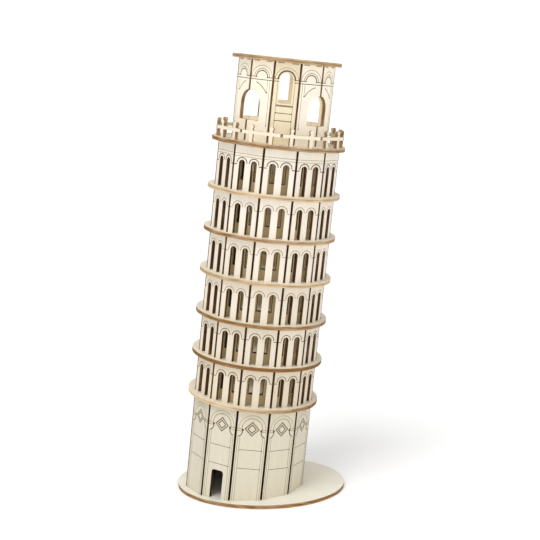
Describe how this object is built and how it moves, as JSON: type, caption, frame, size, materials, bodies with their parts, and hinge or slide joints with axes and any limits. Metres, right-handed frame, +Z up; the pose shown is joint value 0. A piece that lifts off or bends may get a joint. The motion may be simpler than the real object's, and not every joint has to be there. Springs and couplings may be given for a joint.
{
  "type": "miniature landmark model",
  "caption": "Slot-together plywood model of a leaning round bell tower: arcaded storeys between gallery floors, an open belfry with a railing, and an oval base to stand on.",
  "frame": {"origin": "centre of the oval base plate's underside", "axes": "+Z up, +X the way the tower leans, along the base plate's long axis, and -Y the front, where the doorway is, a little to the left"},
  "size_m": [0.1144, 0.0964, 0.294],
  "materials": {
    "arcade_plywood": "bare laser-cut plywood, pale face and burnt edges",
    "base_plywood": "bare laser-cut plywood, pale face and burnt edges",
    "belfry_plywood": "bare laser-cut plywood, pale face and burnt edges",
    "core_plywood": "bare laser-cut plywood, pale face and burnt edges",
    "gallery_plywood": "bare laser-cut plywood, pale face and burnt edges",
    "ground_plywood": "bare laser-cut plywood, pale face and burnt edges",
    "railing_plywood": "bare laser-cut plywood, pale face and burnt edges",
    "roof_plywood": "bare laser-cut plywood, pale face and burnt edges"
  },
  "bodies": {
    "root": {"arcade_walls_2": "arcade_plywood", "arcade_walls_3": "arcade_plywood", "arcade_walls_4": "arcade_plywood", "arcade_walls_5": "arcade_plywood", "arcade_walls_6": "arcade_plywood", "arcade_walls_7": "arcade_plywood", "base_plate": "base_plywood", "belfry_arch_wall_1": "belfry_plywood", "belfry_arch_wall_2": "belfry_plywood", "belfry_arch_wall_3": "belfry_plywood", "belfry_arch_wall_4": "belfry_plywood", "belfry_arch_wall_5": "belfry_plywood", "belfry_arch_wall_6": "belfry_plywood", "belfry_arch_wall_7": "belfry_plywood", "belfry_arch_wall_8": "belfry_plywood", "belfry_window_wall_1": "belfry_plywood", "belfry_window_wall_2": "belfry_plywood", "belfry_window_wall_3": "belfry_plywood", "belfry_window_wall_4": "belfry_plywood", "core_walls_2": "core_plywood", "core_walls_3": "core_plywood", "core_walls_4": "core_plywood", "core_walls_5": "core_plywood", "core_walls_6": "core_plywood", "core_walls_7": "core_plywood", "gallery_floor_1": "gallery_plywood", "gallery_floor_2": "gallery_plywood", "gallery_floor_3": "gallery_plywood", "gallery_floor_4": "gallery_plywood", "gallery_floor_5": "gallery_plywood", "gallery_floor_6": "gallery_plywood", "gallery_floor_7": "gallery_plywood", "ground_wall_01": "ground_plywood", "ground_wall_02": "ground_plywood", "ground_wall_03": "ground_plywood", "ground_wall_04": "ground_plywood", "ground_wall_05": "ground_plywood", "ground_wall_06": "ground_plywood", "ground_wall_07": "ground_plywood", "ground_wall_08": "ground_plywood", "ground_wall_09": "ground_plywood", "ground_wall_10": "ground_plywood", "ground_wall_11": "ground_plywood", "ground_wall_door": "ground_plywood", "railing_01": "railing_plywood", "railing_02": "railing_plywood", "railing_03": "railing_plywood", "railing_04": "railing_plywood", "railing_05": "railing_plywood", "railing_06": "railing_plywood", "railing_07": "railing_plywood", "railing_08": "railing_plywood", "railing_09": "railing_plywood", "railing_10": "railing_plywood", "roof_disc": "roof_plywood"}
  },
  "joints": []
}
